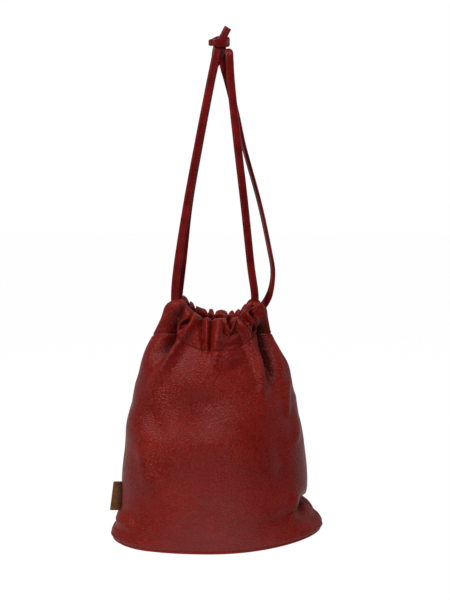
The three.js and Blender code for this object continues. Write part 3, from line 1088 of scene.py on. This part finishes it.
def make_body_leather():
    material, tree = new_material("pebbled_cowhide")
    place = object_place(tree)
    warp = lumps(tree, place, BEND_MM, 2.0)
    bent = add_node(tree, "ShaderNodeMixRGB", {"blend_type": "ADD", "Fac": BEND_SHARE},
                    {"Color1": place, "Color2": warp.outputs["Color"]})
    flat = add_node(tree, "ShaderNodeMapping", {"Scale": PEBBLE_STRETCH},
                    {"Vector": bent.outputs["Color"]})
    cells = add_node(tree, "ShaderNodeTexVoronoi",
                     {"Scale": 1 / (PEBBLE_MM * MM), "feature": "DISTANCE_TO_EDGE"},
                     {"Vector": flat.outputs["Vector"]})
    rut = add_node(tree, "ShaderNodeMapRange", {"From Min": 0.0, "From Max": 0.13, "To Min": 0.1},
                   {"Value": cells.outputs["Distance"]})
    pebble = add_node(tree, "ShaderNodeMapRange",
                      {"From Min": 0.0, "From Max": 0.35, "interpolation_type": "SMOOTHSTEP"},
                      {"Value": cells.outputs["Distance"]})
    fine = lumps(tree, place, GRAIN_MM, 3.0)
    height = add_node(tree, "ShaderNodeMath", {"operation": "MULTIPLY_ADD", 1: GRAIN_SHARE},
                      {0: fine.outputs["Fac"], 2: pebble.outputs["Result"]})
    bump = bump_from(tree, height.outputs["Value"], 1.0, PEBBLE_RELIEF_MM)
    cloud = lumps(tree, place, DYE_CLOUD_MM, 3.0)
    dye = dye_with(tree, cloud.outputs["Fac"], (0.3, DYE_MIDDLE), (0.75, DYE_LIGHT))
    groove = add_node(tree, "ShaderNodeMixRGB", {"blend_type": "MIX", "Color1": linear(DYE_DARK)},
                      {"Fac": rut.outputs["Result"], "Color2": dye.outputs["Color"]})
    # Painted shade: the colour turns near-black red where a narrow fold or the stitch groove goes
    # in.
    crease_shade_mask = add_node(tree, "ShaderNodeAttribute", {"attribute_name": "crease_shade"})
    depth = add_node(tree, "ShaderNodeMapRange",
                     {"From Min": 0.15, "From Max": 1.0, "To Max": 0.78},
                     {"Value": crease_shade_mask.outputs["Fac"]})
    crease_shaded = add_node(tree, "ShaderNodeMixRGB",
                       {"blend_type": "MIX", "Color2": linear(PAINTED_SHADE)},
                       {"Fac": depth.outputs["Result"], "Color1": groove.outputs["Color"]})
    gloss = add_node(tree, "ShaderNodeMapRange", {"To Min": 0.4, "To Max": 0.5},
                     {"Value": cloud.outputs["Fac"]})
    give_surface(tree, {"IOR": 1.45, "Specular IOR Level": 0.16},
                 {"Base Color": crease_shaded.outputs["Color"], "Roughness": gloss.outputs["Result"],
                  "Normal": bump.outputs["Normal"]})
    return material


body_leather = make_body_leather()

# %% [markdown]
# ### Strap leather
#
# The strap is cut from the same hide, pulled smooth when it was folded and stitched. It keeps
# only a fine grain, and its dye is a shade deeper in patches, as along any handled strap.

# %% Strap leather
STRAP_GRAIN_MM = 1.3


def make_strap_leather():
    material, tree = new_material("smooth_strap_leather")
    place = object_place(tree)
    grain = add_node(tree, "ShaderNodeTexVoronoi",
                     {"Scale": 1 / (STRAP_GRAIN_MM * MM), "feature": "DISTANCE_TO_EDGE"},
                     {"Vector": place})
    bump = bump_from(tree, grain.outputs["Distance"], 0.3, 0.2)
    cloud = lumps(tree, place, 14, 3.0)
    dye = dye_with(tree, cloud.outputs["Fac"], (0.35, "#49080a"), (0.7, "#620f0e"))
    give_surface(tree, {"IOR": 1.45, "Specular IOR Level": 0.13, "Roughness": 0.36},
                 {"Base Color": dye.outputs["Color"], "Normal": bump.outputs["Normal"]})
    return material


strap_leather = make_strap_leather()

# %% [markdown]
# ### Tab leather and thread
#
# The tab is plain vegetable-tanned leather, brown, with painted shade that darkens it towards
# the seam. The thread is bonded polyester in the colour of the leather, a shade lighter.

# %% Tab leather and thread
TAB_SHADE_START = 2.0
TAB_SHADE_END = 9.0


def make_tab_leather():
    material, tree = new_material("brown_tanned_leather")
    place = object_place(tree)
    cloud = lumps(tree, place, 5, 4.0)
    dye = dye_with(tree, cloud.outputs["Fac"], (0.3, "#42230a"), (0.7, "#5f3814"))
    axes = add_node(tree, "ShaderNodeSeparateXYZ", {}, {"Vector": place})
    edge = tab_box[0][0]
    # Painted shade: the tab turns darker from its free edge towards the side seam.
    seam_shade = add_node(tree, "ShaderNodeMapRange",
                    {"From Min": edge + TAB_SHADE_START * MM, "From Max": edge + TAB_SHADE_END * MM,
                     "To Max": 0.85},
                    {"Value": axes.outputs["X"]})
    seam_shaded = add_node(tree, "ShaderNodeMixRGB", {"blend_type": "MIX", "Color2": linear(PAINTED_SHADE)},
                    {"Fac": seam_shade.outputs["Result"], "Color1": dye.outputs["Color"]})
    bump = bump_from(tree, cloud.outputs["Fac"], 0.25, 0.15)
    give_surface(tree, {"IOR": 1.45, "Specular IOR Level": 0.2, "Roughness": 0.55},
                 {"Base Color": seam_shaded.outputs["Color"], "Normal": bump.outputs["Normal"]})
    return material


def make_thread():
    material, tree = new_material("polyester_thread")
    cloud = lumps(tree, object_place(tree), 2.5, 3.0)
    dye = dye_with(tree, cloud.outputs["Fac"], (0.35, "#5c1812"), (0.65, "#84302a"))
    gloss = add_node(tree, "ShaderNodeMapRange", {"To Min": 0.4, "To Max": 0.6},
                     {"Value": cloud.outputs["Fac"]})
    give_surface(tree, {"Specular IOR Level": 0.25},
                 {"Base Color": dye.outputs["Color"], "Roughness": gloss.outputs["Result"]})
    return material


tab_leather = make_tab_leather()
thread = make_thread()

# %% [markdown]
# Each piece gets the leather or the thread that it is made of.

# %% Give out the materials
for piece, material in ((front, body_leather), (back, body_leather), (base, body_leather),
                        (drawstring, strap_leather), (knot, strap_leather),
                        (tab, tab_leather), (hem_stitches, thread), (strap_stitches, thread)):
    piece.data.materials.append(material)
    print(piece.name, "is made of", material.name)

# %% [markdown]
# ## Room and lamps
#
# The studio is pale behind the bag and dark in front of it, so that the leather has a soft sheen
# at its edges and stays deep red in the middle. One lamp at the upper left shapes the folds, a
# weaker one at the right fills them, one above lights the rim and the gathers, and a low one
# under the foot stands for the light that a pale floor throws back on the base.

# %% Room and lamps
ROOM_DARK = 0.0
ROOM_PALE = 0.55
BAG_MIDDLE = (0, 0, -0.42)
# Name, place, size, power in watts and what it is turned to.
LAMPS = [
    ("key", (-1.05, -1.05, 0.65), 0.4, 31.5, BAG_MIDDLE),
    ("fill", (1.75, -0.1, 0.0), 0.8, 10.5, BAG_MIDDLE),
    ("top", (0.05, -0.75, 0.8), 0.35, 11.5, (0, 0, -0.33)),
    ("bounce", (-0.02, -0.28, -0.79), 0.35, 1.6, (-0.02, -0.05, -0.57)),
]


def make_world():
    world = bpy.data.worlds.new("studio")
    bpy.context.scene.world = world
    world.use_nodes = True
    tree = world.node_tree
    tree.nodes.clear()
    way = add_node(tree, "ShaderNodeTexCoord").outputs["Generated"]
    axes = add_node(tree, "ShaderNodeSeparateXYZ", {}, {"Vector": way})
    level = add_node(tree, "ShaderNodeMapRange",
                     {"From Min": -0.1, "From Max": 0.5, "To Min": ROOM_DARK, "To Max": ROOM_PALE},
                     {"Value": axes.outputs["Y"]})
    room = add_node(tree, "ShaderNodeBackground", {"Color": (1, 1, 1, 1)},
                    {"Strength": level.outputs["Result"]})
    white = add_node(tree, "ShaderNodeBackground", {"Color": (1, 1, 1, 1), "Strength": 1.0})
    seen = add_node(tree, "ShaderNodeLightPath")
    both = add_node(tree, "ShaderNodeMixShader", {},
                    {0: seen.outputs["Is Camera Ray"], 1: room.outputs[0], 2: white.outputs[0]})
    add_node(tree, "ShaderNodeOutputWorld", {}, {"Surface": both.outputs[0]})


def add_lamp(name, place, size, power, target):
    data = bpy.data.lights.new(name, "AREA")
    data.size = size
    data.energy = power
    lamp = bpy.data.objects.new(name, data)
    bpy.context.scene.collection.objects.link(lamp)
    lamp.location = place
    lamp.rotation_euler = (Vector(target) - Vector(place)).to_track_quat("-Z", "Y").to_euler()


make_world()
for lamp in LAMPS:
    add_lamp(*lamp)
bpy.context.scene.view_settings.view_transform = "Standard"
print("lamps:", [lamp[0] for lamp in LAMPS])

# %% [markdown]
# ## Floor
#
# The floor and the backdrop look white to the camera and in reflections. To every other ray the
# floor is plain matt white, and a small share of that is left in what the camera sees.

# %% Floor
FLOOR_LEVEL = -0.8
FLOOR_HALF = 2
FLOOR_FRONT = 0.25
FLOOR_WHITE = 0.95
FLOOR_GLOW = 1.03
FLOOR_MATT = (0.85, 0.85, 0.85, 1)


def make_floor_material():
    material, tree = new_material("white_floor")
    seen = add_node(tree, "ShaderNodeLightPath")
    shown = add_node(tree, "ShaderNodeMath", {"operation": "MAXIMUM"},
                     {0: seen.outputs["Is Camera Ray"], 1: seen.outputs["Is Glossy Ray"]})
    share = add_node(tree, "ShaderNodeMath", {"operation": "MULTIPLY", 1: FLOOR_WHITE},
                     {0: shown.outputs["Value"]})
    matt = add_node(tree, "ShaderNodeBsdfDiffuse", {"Color": FLOOR_MATT})
    white = add_node(tree, "ShaderNodeEmission", {"Color": (1, 1, 1, 1), "Strength": FLOOR_GLOW})
    both = add_node(tree, "ShaderNodeMixShader", {},
                    {0: share.outputs["Value"], 1: matt.outputs[0], 2: white.outputs[0]})
    add_node(tree, "ShaderNodeOutputMaterial", {}, {"Surface": both.outputs[0]})
    return material


def make_floor():
    bm = bmesh.new()
    bmesh.ops.create_grid(bm, x_segments=8, y_segments=8, size=FLOOR_HALF)
    bmesh.ops.translate(bm, verts=bm.verts, vec=(0, FLOOR_HALF - FLOOR_FRONT, FLOOR_LEVEL))
    mesh = bpy.data.meshes.new("floor")
    bm.to_mesh(mesh)
    bm.free()
    floor = bpy.data.objects.new("floor", mesh)
    bpy.context.scene.collection.objects.link(floor)
    mesh.materials.append(make_floor_material())


make_floor()
